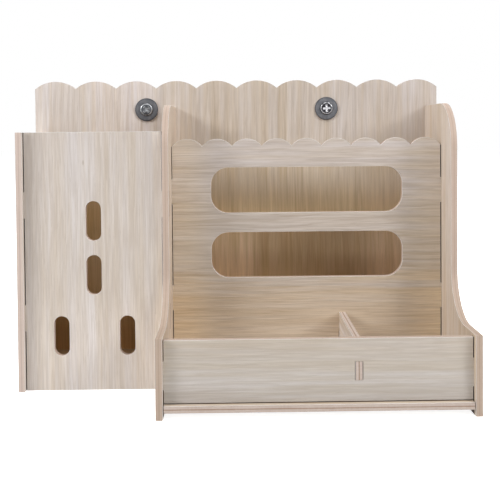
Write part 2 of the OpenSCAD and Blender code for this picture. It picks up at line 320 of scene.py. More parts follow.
def buildVeneerGrain(size):
    # Position has x along the grain, y across it and z through the sheet, in metres
    tree, given, result = newGroup("veneerGrain", "ShaderNodeTree", {
        "Position": "Vector", "Ring Pitch": 0.005, "Heart": 0.0, "Depth": 0.02, "Tilt": 0.05, "Figure": 0.3,
        "Drift": 0.004, "Fine": 1.0, "Seed": 0.0}, ["Tone", "Tint", "Relief"])

    def stretched(position, along, across):
        return vecCalc("ADD", vecCalc("MULTIPLY", position, (along, across, across)), given["Seed"])

    # the grain drifts sideways a little, so that its lines are never quite straight
    drift = times(swing(stretched(given["Position"], *size["driftScale"])), given["Drift"])
    moved = vecCalc("ADD", given["Position"], combine(y=drift))
    layers = {}
    for name, (along, across, detail, roughness, low, high) in size["layers"].items():
        layers[name] = remap(noise(stretched(moved, along, across), detail, roughness), low, high)

    # year rings round a pith that lies at Depth under the face and dips with Tilt
    split = separate(moved)
    wander = times(swing(stretched(moved, *size["wanderScale"]), 1.0), size["wander"])
    across = minus(calc("ADD", split[1], wander), given["Heart"])
    pith = calc("MULTIPLY_ADD", split[0], given["Tilt"], given["Depth"])
    squares = calc("ADD", calc("POWER", across, 2.0), calc("POWER", pith, 2.0))
    growth = calc("FRACT", calc("DIVIDE", calc("SQRT", squares), given["Ring Pitch"]))
    rings = times(greyRamp(growth, size["rings"]), layers["ringBreaks"])

    def thinLines(along, across, width):
        # closed loops drawn out along the grain, dark where the noise crosses its middle
        level = calc("ABSOLUTE", swing(stretched(moved, along, across), 1.0))
        return remap(level, width / 4, width, 1.0, 0.0)

    thin = calc("MAXIMUM", times(thinLines(*size["longLines"]), layers["patches"]),
                times(thinLines(*size["shortLines"]), size["shortShare"]))
    tone, fine, tint = (addUp(start, [(layers[name], share) for name, share in size[key].items()])
                        for key, start in (("tone", size["toneStart"]), ("fine", 0.0), ("tint", 0.0)))
    tone = addUp(tone, ((rings, given["Figure"]), (thin, size["thinShare"]), (fine, given["Fine"])))
    feed(result["Tone"], calc("MINIMUM", tone, 1.0))
    feed(result["Tint"], tint)
    raised = addUp(layers["fibres"], [(thin, -0.5)])
    feed(result["Relief"], minus(raised, layers["pores"]))
    return tree


# cut edges: the levels go from the middle of the sheet out to its faces, and the scales are per metre
plies = {"levels": {0.0: 0.95, 0.1: 0.85, 0.2: 0.16, 0.5: 0.05, 0.8: 0.14, 0.87: 0.62, 1.0: 0.55},
         "cutFacing": (0.45, 0.75), "arrisFacing": (0.12, 0.5), "faceFacing": (0.86, 0.985),
         "waverScale": (90.0, 90.0, 0.0), "waver": 0.16, "gritScale": (700.0, 700.0, 260.0), "grit": 0.5,
         "blotchScale": (45.0, 45.0, 300.0), "blotch": 0.55}


def buildPlyLayers(size):
    # where a cut edge shows, and the thin dark plies between the pale cores on it
    tree, given, result = newGroup("plyLayers", "ShaderNodeTree", {
        "Position": "Vector", "Normal": "Vector", "Ply": sheet["ply"] * mm, "Seed": 0.0},
        ["Cut", "Arris", "Layer", "Grit"])
    facing = calc("ABSOLUTE", separate(given["Normal"])[2])
    feed(result["Cut"], remap(facing, *size["cutFacing"], 1.0, 0.0))
    offFace = remap(facing, *size["faceFacing"], 1.0, 0.0)
    feed(result["Arris"], times(remap(facing, *size["arrisFacing"]), offFace))
    seeded = vecCalc("ADD", given["Position"], combine(given["Seed"]))

    def scaled(key):
        return vecCalc("MULTIPLY", seeded, size[key])

    depth = calc("DIVIDE", separate(given["Position"])[2], given["Ply"])
    through = addUp(times(swing(scaled("waverScale")), size["waver"]), [(depth, 2.0)])
    layer = greyRamp(calc("ABSOLUTE", through), size["levels"])
    grit = noise(scaled("gritScale"), 3.0, 0.65)
    stained = addUp(layer, [(minus(grit, 0.5), size["grit"])])
    blotch = swing(scaled("blotchScale"))
    feed(result["Layer"], calc("MULTIPLY_ADD", blotch, size["blotch"], stained, clamp=True))
    feed(result["Grit"], grit)
    return tree


veneerGrain = buildVeneerGrain(veneer)
plyLayers = buildPlyLayers(plies)

# What a sheet's own look may change, in metres, shares of 0 to 1 and picture colours. grainColour and yellowColour
# multiply the pale colour; painted light and shade stray by ragged of their width, raggedMost at the most.
plywood = {
    "ringPitch": 0.0055, "heart": 0.0, "pith": 0.02, "figure": 0.25, "tilt": 0.06, "drift": 0.005, "fine": 1.0,
    "grainShare": 0.8, "grainColour": (0.655, 0.604, 0.55, 1), "yellow": 0.8, "yellowColour": (0.865, 0.765, 0.58, 1),
    "edgeShare": 0.35, "edgePale": (193, 173, 159), "edgeDeep": (150, 124, 106),
    "arrisShare": 0.3, "arris": (225, 206, 182), "paintedLightAndShade": (), "ragged": 0.4, "raggedMost": 0.02,
    "roughness": 0.56, "grainRough": 0.16, "edgeRough": 0.14, "specular": 0.3,
    "reliefDepth": 0.00007, "reliefStrength": 0.8,
}
axes = {"X": Vector((1, 0, 0)), "Y": Vector((0, 1, 0)), "Z": Vector((0, 0, 1))}
throughSheet = {"across": "Y", "along": "X", "flat": "Z"}


def plywoodFinish(name, spec, centre):
    look = {**plywood, **spec["look"]}
    material, tree = newMaterial(name)
    shader = tree.nodes["Principled BSDF"].inputs
    along, through = axes[look["grain"]], axes[throughSheet[spec["stands"]]]
    turn = Matrix((along, through.cross(along), through)).to_euler("XYZ")
    spot = -(turn.to_matrix() @ Vector(centre))
    source = addNode(tree, "ShaderNodeTexCoord").outputs
    position = addNode(tree, "ShaderNodeMapping", {"Vector": source["Object"], "Location": spot, "Rotation": turn})
    facing = addNode(tree, "ShaderNodeMapping", {"Vector": source["Normal"], "Rotation": turn}, vector_type="VECTOR")
    grain = addNode(tree, "ShaderNodeGroup", {
        "Position": position, "Seed": look["seed"], "Ring Pitch": look["ringPitch"], "Heart": look["heart"],
        "Depth": look["pith"], "Tilt": look["tilt"], "Figure": look["figure"], "Drift": look["drift"],
        "Fine": look["fine"]}, node_tree=veneerGrain).outputs
    layers = addNode(tree, "ShaderNodeGroup", {
        "Position": position, "Normal": facing, "Seed": look["seed"]}, node_tree=plyLayers).outputs

    tone = grain["Tone"]
    if "pinKnot" in look:  # one small dark mark, drawn out along the grain
        at, scale, strength = look["pinKnot"]
        away = vecCalc("LENGTH", vecCalc("MULTIPLY", vecCalc("SUBTRACT", position, at), scale))
        tone = calc("ADD", tone, remap(away, 0.3, 1.0, strength, 0.0))
    tone = times(tone, look["grainShare"])
    face = blend(tone, colour(*look["pale"]), look["grainColour"], "MULTIPLY")
    face = blend(times(grain["Tint"], look["yellow"]), face, look["yellowColour"], "MULTIPLY")
    edgeTone = times(layers["Layer"], look["edgeShare"])
    edge = blend(edgeTone, colour(*look["edgePale"]), colour(*look["edgeDeep"]))

    parts, normal = separate(position), separate(facing)[2]
    uneven = minus(grain["Tint"], 0.5)
    # painted light and shade: each patch multiplies the face or cut-edge colour by its shade within its limits
    for side, shade, *limits in look["paintedLightAndShade"]:
        share = 1.0
        for axis, start, end in limits:
            stray = min(look["raggedMost"], look["ragged"] * abs(end - start) * mm)
            place = calc("MULTIPLY_ADD", uneven, stray, parts[axis])
            share = times(remap(place, start * mm, end * mm), share)
        if side == "edge":
            edge = blend(share, edge, (*shade, 1), "MULTIPLY")
            continue
        if side != "both":
            share = times(share, remap(times(normal, side), 0.3, 0.6))
        face = blend(share, face, (*shade, 1), "MULTIPLY")

    base = blend(layers["Cut"], face, edge)
    # painted highlight: the rounded arrises mix towards a lighter colour
    arrisHighlight = times(layers["Arris"], look["arrisShare"])
    feed(shader["Base Color"], blend(arrisHighlight, base, colour(*look["arris"])))
    rough = addUp(look["roughness"], ((grain["Tone"], look["grainRough"]), (layers["Cut"], look["edgeRough"])))
    feed(shader["Roughness"], rough)
    feed(shader["Specular IOR Level"], look["specular"])
    height = addNode(tree, "ShaderNodeMix", {
        0: layers["Cut"], 2: grain["Relief"], 3: layers["Grit"]}, data_type="FLOAT")
    bump = addNode(tree, "ShaderNodeBump", {
        "Height": height, "Distance": look["reliefDepth"], "Strength": look["reliefStrength"]})
    feed(shader["Normal"], bump)
    return material


# the ten sheets: where their front or right faces are, and the middles of their tabs
faceAt = {"binSide": -165.5, "middle": -53.0, "right": 170.5,
          "hay": 55.0, "binFront": 80.5, "divider": 87.0, "wall": 145.5}
tabs = {"board": (50.0, 160.0), "binFront": (56.5, 144.5), "hay": (66.0, 152.0), "wall": (30.0,),
        "binFloor": (50.0,), "trayFloor": (20.0, 115.0), "trayRear": (1.25, 111.25)}
curvedPanel = {"trayDepth": 150.0, "trayHeight": 57.0, "cove": 36.0,
               "rackDepth": 85.0, "rackHeight": 222.0, "shoulder": 34.0}
board = {"half": 175.5, "top": 245.0, "rise": 6.5}
binSize = {"depth": 84.0, "height": 201.0, "pill": (12.0, 31.0, 6.0),
           "pills": ((0, 132), (0, 90), (-25.5, 42.5), (25.5, 42.5))}
hay = {"top": 194.5, "rise": 6.0, "slot": (155.0, 37.0, 14.0), "slots": (153.0, 100.5)}
divider = {"rear": 55.0, "front": 140.5, "top": 53.0, "tab": 13.0, "tabMiddle": 32.0, "hole": (5.9, 13.4)}
clamp = {"x": 78.5, "z": 220.0, "hole": 5.5, "tail": 28.8, "washerThick": 1.2, "rearSeat": -10.2}

rackLeft, rackRight = faceAt["middle"] + sheet["seam"], faceAt["right"] - seamTab
binLeft, binRight = faceAt["binSide"] + sheet["seam"], faceAt["middle"] - seamTab
rackMiddle, binMiddle = (rackLeft + rackRight) / 2, (binLeft + binRight) / 2


def tallMortises(face, heights):
    return [mortise(face - sheet["ply"] / 2, height, plyHole, tabHole) for height in heights]


def flatMortises(middles):
    return [mortise(middle, sheet["floorTop"] - sheet["ply"] / 2, tabHole, plyHole) for middle in middles]


def curvedOutline(size):
    front, back = size["trayDepth"], size["rackDepth"]
    coveX, coveY = back + size["cove"], size["trayHeight"] + size["cove"]
    topX, topY = back - size["shoulder"], size["rackHeight"] - size["shoulder"]
    points = [(0.0, 0.0), (front, 0.0), (front, size["trayHeight"])]
    points += arc(coveX, coveY, size["cove"], 270, 180, outlineSteps["curve"])
    points += arc(topX, topY, size["shoulder"], 0, 90, outlineSteps["curve"])
    return points + sideWithTabs((0.0, size["rackHeight"]), (0.0, 0.0), tabs["board"], reach=sheet["ply"])


def boxOutline(left, right, low, high, sideTabs=(), lowTabs=()):
    points = sideWithTabs((left, high), (left, low), sideTabs)
    points += sideWithTabs((left, low), (right, low), lowTabs, reach=sheet["ply"])
    points += sideWithTabs((right, low), (right, high), sideTabs)
    return points + [(right, high)]


def dividerOutline(size):
    low, middles = sheet["floorTop"], (size["tabMiddle"],)
    rear = sideWithTabs((size["rear"], size["top"]), (size["rear"], low), middles, size["tab"], sheet["ply"])
    front = sideWithTabs((size["front"], low), (size["front"], size["top"]), middles, size["tab"], sheet["ply"])
    return rear + [(size["rear"], low)] + front + [(size["front"], size["top"])]


rackMortises = tallMortises(faceAt["hay"], tabs["hay"]) + tallMortises(faceAt["wall"], tabs["wall"])
rackMortises += flatMortises(tabs["trayFloor"])
binMortises = tallMortises(faceAt["binFront"], tabs["binFront"]) + flatMortises(tabs["binFloor"])
boardMortises = sum((tallMortises(faceAt[name], tabs["board"]) for name in ("binSide", "middle", "right")), [])
boardMortises += flatMortises((binMiddle, *tabs["trayRear"]))
dividerHole = mortise(faceAt["divider"] - sheet["ply"] / 2, divider["tabMiddle"], *divider["hole"])


def gapLine(side, rear, front, top):
    # painted shade: a dark line where another sheet's end meets this one, for the shade in the gap
    return side, (0.12, 0.09, 0.07), (1, rear - 0.4, rear), (1, front + 0.4, front), (0, top + 0.6, top)


behindRack = (1, -56.5, -55.5), (1, 168, 167)  # parts of the back board's width
behindBin = (1, -54.5, -55.5), (1, -168, -167)
behindBoth = (1, -168, -167), (1, 168, 167)

# Across shows its face to the front, along stands from front to back, flat lies level. Painted light and shade
# multiply the wood's colour, each patch with its side (1 faces back, right or up, -1 the front or left), its shade,
# and limits of (axis, from, to) measured from the sheet's middle, axis 0 along the grain and 1 across it.
sheets = {
    "scallopedBackBoard": {
        "node": "back_board", "stands": "across", "at": 0.0,
        "outline": boxOutline(-board["half"], board["half"], 0.0, board["top"] - board["rise"]),
        "scallops": (10, board["rise"], board["top"]),
        "holes": boardMortises + [roundHole(x, clamp["z"], clamp["hole"], clamp["hole"], clamp["hole"] / 2)
                                  for x in (-clamp["x"], clamp["x"])],
        "look": {
            "grain": "Z", "seed": 3.1, "ringPitch": 0.0062, "heart": -0.05, "pith": 0.04, "figure": 0.3,
            "tilt": 0.05, "drift": 0.004, "pale": (232, 225, 223), "yellow": 0.65, "grainShare": 0.76, "fine": 0.8,
            # painted light and shade on the front: a lighter strip below the scallops, the warm shade and light of the
            # rack's and bin's insides behind the slots and pill holes, lighter slot ends, and shade to the right of
            # the middle panel
            "paintedLightAndShade": [
                (-1, (1.07, 1.07, 1.06), (0, 105, 80)),
                (-1, (0.95, 0.9, 0.79), (0, 75, 50), *behindBoth),
                (-1, (1.11, 1.0, 0.78), (0, 40, 5), *behindBoth),
                (-1, (0.66, 0.61, 0.58), (0, 4, -8), *behindRack),
                (-1, (1.36, 1.34, 1.34), (0, -12, -45), *behindRack),
                (-1, (0.94, 0.82, 0.62), (0, -30, -100), *behindBoth),
                (-1, (1.38, 1.45, 1.6), (1, 30, -13), (0, 0, -6), *behindRack),
                (-1, (1.24, 1.3, 1.42), (1, 85, 130), (0, 0, -6), *behindRack),
                (-1, (1.2, 1.22, 1.3), (1, 100, 132), (0, 50, 10), *behindRack),
                (-1, (0.82, 0.72, 0.58), (0, 70, 60), *behindBin),
                (-1, (1.11, 1.14, 1.26), (0, -15, -30), *behindBin),
                (-1, (1.12, 1.14, 1.2), (1, -135, -118), (1, -70, -85)),
                (-1, (0.88, 0.865, 0.84), (1, -66, -30)),
                (-1, (0.95, 0.945, 0.95), (1, 30, 130))]}},
    "binSidePanel": {
        "node": "bin_side_panel", "stands": "along", "at": faceAt["binSide"], "holes": binMortises,
        "outline": [(0.0, 0.0), (binSize["depth"], 0.0), (binSize["depth"], binSize["height"])]
        + sideWithTabs((0.0, binSize["height"]), (0.0, 0.0), tabs["board"], reach=sheet["ply"]),
        "look": {
            "grain": "Z", "seed": 9.4, "heart": 0.03, "tilt": 0.07, "pale": (230, 222, 218), "fine": 1.1,
            # painted shade in the seam where the bin front's end meets this panel
            "edgePale": (205, 188, 178), "paintedLightAndShade": [gapLine(1, 36, 41, 100)]}},
    "middleCurvedPanel": {
        "node": "middle_side_panel", "stands": "along", "at": faceAt["middle"],
        "outline": curvedOutline(curvedPanel), "holes": rackMortises + binMortises,
        "look": {
            "grain": "Z", "seed": 15.2, "ringPitch": 0.006, "heart": 0.01, "pith": 0.03,
            "pale": (229, 217, 208), "grainShare": 0.75, "arrisShare": 0.12,
            # painted light and shade: cut edges darker low down, painted light at the top rear of the inner face, and
            # painted shade in the seams with the hay front, the tray wall and the bin front
            "paintedLightAndShade": [
                ("edge", (0.91, 0.91, 0.88), (0, -20, -60)),
                (1, (1.08, 1.07, 1.06), (1, -30, -60), (0, 70, 90)),
                gapLine(1, -22.5, -17.5, 77), gapLine(1, 68, 73, -56.5), gapLine(-1, 3, 8, 89.5)]}},
    "rightCurvedPanel": {
        "node": "right_side_panel", "stands": "along", "at": faceAt["right"],
        "outline": curvedOutline(curvedPanel), "holes": rackMortises,
        "look": {
            "grain": "Z", "seed": 22.8, "ringPitch": 0.0058, "heart": -0.02, "pith": 0.025,
            "pale": (226, 215, 206), "grainShare": 0.75, "arrisShare": 0.12,
            # painted light and shade: cut edges darker low down, painted light at the top rear of the inner face, and
            # painted shade in the seams with the hay front and the tray wall
            "paintedLightAndShade": [
                ("edge", (0.91, 0.91, 0.88), (0, -20, -60)),
                (-1, (1.1, 1.11, 1.14), (1, -30, -60), (0, 70, 90)),
                gapLine(-1, -22.5, -17.5, 77), gapLine(-1, 68, 73, -56.5)]}},
    "binFrontPanel": {
        "node": "bin_front_panel", "stands": "across", "at": faceAt["binFront"],
        "outline": boxOutline(binLeft, binRight, 0.0, binSize["height"], tabs["binFront"]),
        "holes": [roundHole(binMiddle + x, z, *binSize["pill"]) for x, z in binSize["pills"]],
        "look": {
            "grain": "Z", "seed": 31.7, "ringPitch": 0.0048, "heart": -0.012, "pith": 0.014, "figure": 0.28,
            "tilt": 0.09, "pale": (233, 227, 225), "yellow": 0.5, "grainShare": 0.54, "fine": 1.6,
            "pinKnot": ((0.0768, -0.0074, 0.0), (360.0, 1400.0, 0.0), 1.3),  # place, scale and strength
            # painted light and shade: darker from the bottom up, a painted shadow of the side panel along the left
            # edge, darker at the top right, painted light over the cast shadow at the lower right and along the right
            # end, and painted shade low left of the middle
            "paintedLightAndShade": [
                ("both", (0.87, 0.865, 0.86), (0, -80, 0)),
                ("both", (0.97, 0.965, 0.965), (0, 20, 90)),
                ("both", (0.82, 0.8, 0.77), (1, -33, -48)),
                ("both", (0.94, 0.94, 0.95), (1, 28, 45), (0, 0, 30)),
                ("both", (1.12, 1.12, 1.11), (1, 20, 42), (1, 51.5, 44.5), (0, -15, -55)),
                ("both", (1.27, 1.27, 1.25), (1, 44.5, 51.5)),
                ("both", (0.94, 0.93, 0.92), (0, -40, -60), (1, -35, -30), (1, 0, -12))]}},
    "binFloor": {
        "node": "bin_floor", "stands": "flat", "at": sheet["floorTop"],
        "outline": boxOutline(binLeft, binRight, 0.0, faceAt["binFront"] - seamTab, tabs["binFloor"], (binMiddle,)),
        "look": {
            "grain": "X", "seed": 38.5, "pale": (228, 221, 217),
            # painted shade over the rear of the bin floor, inside the bin
            "paintedLightAndShade": [(1, (0.62, 0.45, 0.27), (1, -20, 30))]}},
    "slottedHayFront": {
        "node": "hay_front_panel", "stands": "across", "at": faceAt["hay"],
        "outline": boxOutline(rackLeft, rackRight, sheet["floorTop"], hay["top"] - hay["rise"], tabs["hay"]),
        "scallops": (9, hay["rise"], hay["top"]),
        "holes": [roundHole(rackMiddle, z, *hay["slot"]) for z in hay["slots"]] + [dividerHole],
        "look": {
            "grain": "X", "seed": 44.3, "ringPitch": 0.0058, "heart": -0.045, "pith": 0.016, "figure": 0.34,
            "tilt": 0.055, "drift": 0.004, "pale": (211, 204, 203), "yellow": 0.55, "grainShare": 0.85, "fine": 1.05,
            # painted light and shade: warmer and lighter low down and at both ends, darker below the upper part
            "paintedLightAndShade": [
                ("both", (1.19, 1.105, 0.95), (1, 5, 45)),
                ("both", (1.05, 1.06, 1.05), (0, 94, 112), (1, 15, 45)),
                ("both", (0.96, 0.945, 0.9), (1, -55, -30)),
                ("both", (1.115, 1.075, 0.97), (0, -70, -98)),
                ("both", (1.14, 1.13, 1.07), (0, 72, 100))]}},
    "trayFloor": {
        "node": "tray_floor", "stands": "flat", "at": sheet["floorTop"],
        "outline": boxOutline(rackLeft, rackRight, 0.0, curvedPanel["trayDepth"], tabs["trayFloor"], tabs["trayRear"]),
        "look": {
            "grain": "X", "seed": 52.6, "ringPitch": 0.006, "heart": 0.02, "tilt": 0.05, "pale": (228, 221, 217),
            "edgePale": (198, 183, 173), "edgeShare": 0.9, "arrisShare": 0.15,
            # painted shade: a dark line along the foot of the wall and a darker strip on the floor just in front of it
            "paintedLightAndShade": [
                (1, (0.4, 0.34, 0.28), (1, -73.4, -73), (1, -67.6, -68)),
                (1, (0.87, 0.85, 0.83), (1, -72.8, -73.4))]}},
    "trayFrontWall": {
        "node": "tray_front_wall", "stands": "across", "at": faceAt["wall"], "holes": [dividerHole],
        "outline": boxOutline(rackLeft, rackRight, sheet["floorTop"] + sheet["seam"], 55.0, tabs["wall"]),
        "look": {
            "grain": "X", "seed": 60.9, "ringPitch": 0.005, "heart": 0.05, "figure": 0.14, "tilt": 0.03,
            "drift": 0.002, "pale": (205, 200, 197), "yellow": 0.5, "grainShare": 0.41, "fine": 1.85,
            # painted shade: darker at the foot, more so towards the left, and at the left end; warmer along the top
            "paintedLightAndShade": [
                ("both", (0.92, 0.925, 0.935), (1, 4, 20)),
                ("both", (1.0, 0.975, 0.94), (1, -3, -18)),
                ("both", (0.92, 0.9, 0.88), (0, -30, -90), (1, 4, 16)),
                ("both", (0.95, 0.955, 0.94), (0, -94, -106))]}},
    "trayDivider": {
        "node": "tray_divider", "stands": "along", "at": faceAt["divider"],
        "outline": dividerOutline(divider),
        "look": {
            "grain": "Y", "seed": 67.2, "tilt": 0.05, "drift": 0.004, "pale": (228, 220, 216),
            "edgePale": (198, 183, 173), "edgeShare": 1.0, "arrisShare": 0.0}},
}


def placement(stands, at):
    # from the cutter's bed, x and y of the outline and z through the sheet, to the feeder
    ply, front = sheet["ply"], sheet["boardFront"]
    columns, origin = {
        "across": (((1, 0, 0), (0, 0, 1), (0, -1, 0)), (0, front - at + ply, 0)),
        "along": (((0, -1, 0), (0, 0, 1), (-1, 0, 0)), (at, front, 0)),
        "flat": (((1, 0, 0), (0, -1, 0), (0, 0, -1)), (0, front, at)),
    }[stands]
    turn = Matrix([Vector(column) for column in columns]).transposed().to_4x4()
    return Matrix.Scale(mm, 4) @ Matrix.Translation(origin) @ turn


# lengths, and angles in degrees
easing = {"width": 0.15, "segments": 3, "weld": 0.002, "flatAngle": 0.2, "sharpAngle": 40.0}


def easeArrises(mesh, size, holes):
    # a small rounding where the faces meet the cut edges; the mortises' own edges stay sharp
    def ends(*corners):
        return frozenset((round(corner[0], 2), round(corner[1], 2)) for corner in corners)

    sharp = {ends(hole[i - 1], hole[i]) for hole in holes if len(hole) == 4 for i in range(4)}
    shape = bmesh.new()
    shape.from_mesh(mesh)
    bmesh.ops.remove_doubles(shape, verts=shape.verts, dist=size["weld"])
    flatAngle, sharpAngle = (math.radians(size[key]) for key in ("flatAngle", "sharpAngle"))
    bmesh.ops.dissolve_limit(shape, angle_limit=flatAngle, verts=shape.verts, edges=shape.edges)
    arrises = []
    for edge in shape.edges:
        flat = [abs(face.normal.z) > 0.5 for face in edge.link_faces]
        if len(flat) == 2 and flat[0] != flat[1] and ends(*(corner.co for corner in edge.verts)) not in sharp:
            arrises.append(edge)
    bmesh.ops.bevel(
        shape, geom=arrises, offset=size["width"], segments=size["segments"], profile=0.5, affect="EDGES")
    for face in shape.faces:
        face.smooth = True
    shape.to_mesh(mesh)
    shape.free()
    mesh.set_sharp_from_angle(angle=sharpAngle)


cutSheetTree = buildCutSheetTree()
for name, spec in sheets.items():
    low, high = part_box(spec["node"])
    finish = plywoodFinish(name + "Finish", spec, (low + high) / 2)
    holes = spec.get("holes", ())
    loops = [(spec["outline"], "scallops" not in spec)] + [(hole, True) for hole in holes]
    count, rise, top = spec.get("scallops", (0, 1.0, 1.0))
    left, right = spec["outline"][0][0], spec["outline"][-1][0]
    mesh = runTree(name, wireMesh(name + "Outline", loops), cutSheetTree, {
        "Thickness": sheet["ply"], "Scallops": count, "Rise": rise, "Left": left, "Right": right, "Top": top,
        "Steps": outlineSteps["scallop"], "Finish": finish})
    easeArrises(mesh, easing, holes)
    mesh.transform(placement(spec["stands"], spec["at"]))
    made = makeObject(name, mesh)
    made.modifiers.new("faceNormals", "WEIGHTED_NORMAL").keep_sharp = True
    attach(made, "feeder")
    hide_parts(spec["node"])
print("sheets:", len(sheets))


# clamps: turned and threaded on their own axis, z towards the front
turnSteps = 72


def joinLoops(shape, lower, upper):
    # faces between two loops of corners, where a loop of one corner is a point
    for i in range(max(len(lower), len(upper))):
        a, b = lower[i % len(lower)], lower[(i + 1) % len(lower)]
        c, d = upper[(i + 1) % len(upper)], upper[i % len(upper)]
        corners = list(dict.fromkeys((a, b, c, d)))
        if len(corners) > 2:
            shape.faces.new(corners)


def turned(name, profile, steps=turnSteps, closed=False):
    # spins (radius, z) points round the z axis; a closed profile makes a ring
    shape = bmesh.new()
    rings = []
    for radius, z in profile:
        angles = [math.tau * i / steps for i in range(steps if radius else 1)]
        rings.append([shape.verts.new((radius * math.cos(a), radius * math.sin(a), z)) for a in angles])
    for lower, upper in list(zip(rings, rings[1:])) + ([(rings[-1], rings[0])] if closed else []):
        joinLoops(shape, lower, upper)
    bmesh.ops.recalc_face_normals(shape, faces=shape.faces)
    return shapeMesh(shape, name)


def cutAway(mesh, cutterMesh):
    body, cutter = makeObject(mesh.name + "Blank", mesh), makeObject("cutter", cutterMesh)
    modifier = body.modifiers.new("cut", "BOOLEAN")
    modifier.operation, modifier.solver, modifier.object = "DIFFERENCE", "EXACT", cutter
    result = evaluated(body, mesh.name)
    bpy.data.objects.remove(cutter)
    return result


def recessCutter(size, turn):
    # four tapered arms with a pointed floor
    reach, half, taper = size["recessReach"], size["recessWidth"] / 2, size["recessTaper"]
    quarter = [(half, half), (half, reach), (-half, reach)]
    outline = [(x * c - y * s, x * s + y * c) for c, s in ((1, 0), (0, 1), (-1, 0), (0, -1)) for x, y in quarter]
    shape = bmesh.new()
    top = [shape.verts.new((x, y, size["domeTop"] + 0.5)) for x, y in outline]
    low = [shape.verts.new((x * taper, y * taper, size["recessFloor"])) for x, y in outline]
    tip = shape.verts.new((0, 0, size["recessTip"]))
    shape.faces.new(top)
    joinLoops(shape, top, low)
    joinLoops(shape, low, [tip])
    bmesh.ops.recalc_face_normals(shape, faces=shape.faces)
    mesh = shapeMesh(shape, "recessCutter")
    mesh.transform(Matrix.Rotation(math.radians(turn), 4, "Z"))
    return mesh


def buildThreadTree():
    # a cylinder whose wall follows the helix of the thread, joined to the head that comes in
    tree, given, result = newGroup("boltThread", "GeometryNodeTree", {
        "Head": "Geometry", "Crest": 2.5, "Root": 2.0, "Pitch": 0.8, "Low": -28.8, "High": 1.6,
        "Flank Start": 0.12, "Flank End": 0.86, "Sides": 36, "Rows": 300, "Chamfer": 0.6, "Finish": "Material"},
        ["Bolt"], "Geometry")
    length = minus(given["High"], given["Low"])
    rod = addNode(tree, "GeometryNodeMeshCylinder", {
        "Vertices": given["Sides"], "Side Segments": given["Rows"], "Radius": 1.0, "Depth": length}, fill_type="NGON")
    place = separate(addNode(tree, "GeometryNodeInputPosition"))
    z = calc("ADD", place[2], calc("MULTIPLY_ADD", length, 0.5, given["Low"]))
    turn = calc("DIVIDE", calc("ARCTAN2", place[1], place[0]), math.tau)
    phase = calc("FRACT", minus(calc("DIVIDE", z, given["Pitch"]), turn))
    slope = calc("ABSOLUTE", calc("MULTIPLY_ADD", phase, 2.0, -1.0))
    ridge = remap(minus(1.0, slope), given["Flank Start"], given["Flank End"],
                  given["Root"], given["Crest"], smooth=False)
    blunt = minus(given["Crest"], given["Chamfer"])
    radius = calc("MINIMUM", ridge, calc("ADD", minus(z, given["Low"]), blunt))
    spot = combine(times(place[0], radius), times(place[1], radius), z)
    thread = addNode(tree, "GeometryNodeSetPosition", {"Geometry": rod.outputs["Mesh"], "Position": spot})
    joined = addNode(tree, "GeometryNodeMeshBoolean", operation="UNION", solver="EXACT")
    for part in (given["Head"], thread):
        feed(joined.inputs["Mesh 2"], part)
    finishTree(tree, joined, given["Finish"], result[0])
    return tree


# limits and shares of the zinc, in metres where they are lengths
zinc = {
    "scuffScale": (2400.0, 900.0, 500.0), "scuffs": (0.55, 0.7), "cloudRelief": 0.4, "ringRelief": 0.6,
    "rimWidth": (0.0002, 0.0006), "rimPatches": (0.3, 0.6, 0.25, 1.0), "recessEdge": (-0.0001, 0.00015),
    "outerEdge": (-0.0007, 0.0002), "shade": (0.35, 0.65), "shine": (0.3, 0.7), "scuffRough": 0.08, "bump": 0.5,
}


def buildPlating(size):
    # Uneven zinc on a piece's own axis, y along it, in metres: cloudy shine, fine rings and small scuffs,
    # and masks for a painted reflection ring on the head's rim, a painted reflection in the cross recess and painted
    # shade on a washer's rolled outer edge.
    tree, given, result = newGroup("zincPlating", "ShaderNodeTree", {
        "Position": "Vector", "Cloud": 350.0, "Rings": 2600.0, "Rim": 0.0048, "Outer": 0.0095,
        "Recess Reach": 0.0031, "Recess Width": 0.0017}, ["Cloudy", "Rubbed", "Relief", "Rim", "Recess", "Outer"])
    place = given["Position"]
    cloudy = noise(vecCalc("MULTIPLY", place, given["Cloud"]), 3.0, 0.6)
    away = vecCalc("LENGTH", vecCalc("MULTIPLY", place, (1.0, 0.0, 1.0)))
    rings = noise(combine(times(away, given["Rings"])))
    scuffs = noise(vecCalc("MULTIPLY", place, size["scuffScale"]), 3.0, 0.7)
    feed(result["Cloudy"], cloudy)
    feed(result["Rubbed"], remap(scuffs, *size["scuffs"]))
    feed(result["Relief"], addUp(0.0, ((cloudy, size["cloudRelief"]), (rings, size["ringRelief"]))))
    offRim = calc("ABSOLUTE", minus(away, given["Rim"]))
    uneven = remap(cloudy, *size["rimPatches"])
    feed(result["Rim"], times(remap(offRim, *size["rimWidth"], 1.0, 0.0), uneven))
    sides = separate(vecCalc("ABSOLUTE", place))
    narrow = addUp(calc("MINIMUM", sides[0], sides[2]), [(given["Recess Width"], -0.5)])
    long = minus(calc("MAXIMUM", sides[0], sides[2]), given["Recess Reach"])
    feed(result["Recess"], remap(calc("MAXIMUM", narrow, long), *size["recessEdge"], 1.0, 0.0))
    feed(result["Outer"], remap(minus(away, given["Outer"]), *size["outerEdge"]))
    return tree


